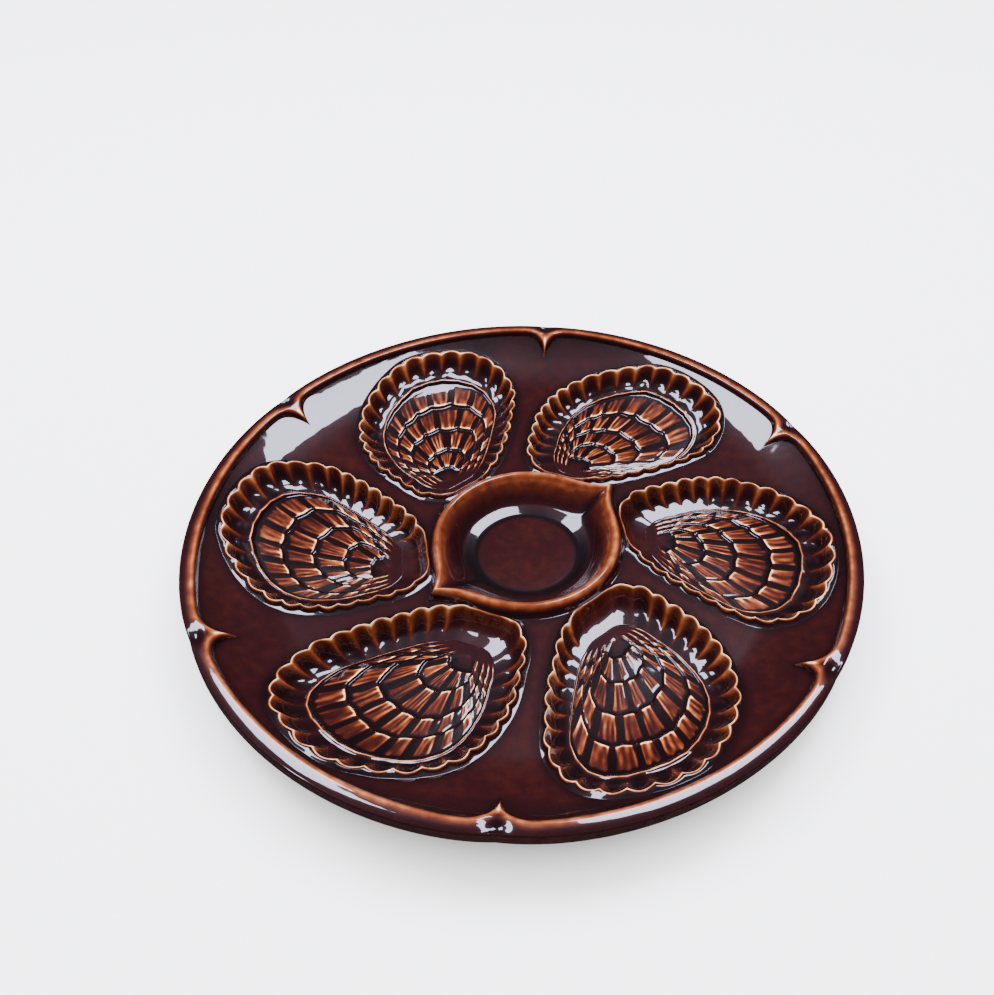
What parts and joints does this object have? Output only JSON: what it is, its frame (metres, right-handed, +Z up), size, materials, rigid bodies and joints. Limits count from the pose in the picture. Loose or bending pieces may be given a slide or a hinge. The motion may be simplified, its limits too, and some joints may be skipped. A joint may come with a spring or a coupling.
{
  "type": "oyster plate",
  "caption": "Round dished plate in brown glazed earthenware with ruffled shell wells round a raised sauce cup, a ridged rim with inward cusps, and a foot ring.",
  "frame": {"origin": "on the table, under the centre of the plate", "axes": "+Z up through the plate's centre; one well lies along +X and a rim cusp along +Y"},
  "size_m": [0.25, 0.2488, 0.025],
  "materials": {
    "plum_glaze": "thick glossy plum-brown glaze over earthenware",
    "brown_glaze": "glossy brown glaze, thin and amber on every raised edge, near black in the grooves",
    "amber_glaze": "glossy amber-brown glaze on rounded ridges, darker below them",
    "foot_clay": "glazed sides and a bare clay edge where the ring stands on the table"
  },
  "bodies": {
    "root": {"deck": "plum_glaze", "rim": "amber_glaze", "well_1": "brown_glaze", "well_2": "brown_glaze", "well_3": "brown_glaze", "well_4": "brown_glaze", "well_5": "brown_glaze", "well_6": "brown_glaze", "sauce_cup": "amber_glaze", "foot_ring": "foot_clay"}
  },
  "joints": []
}
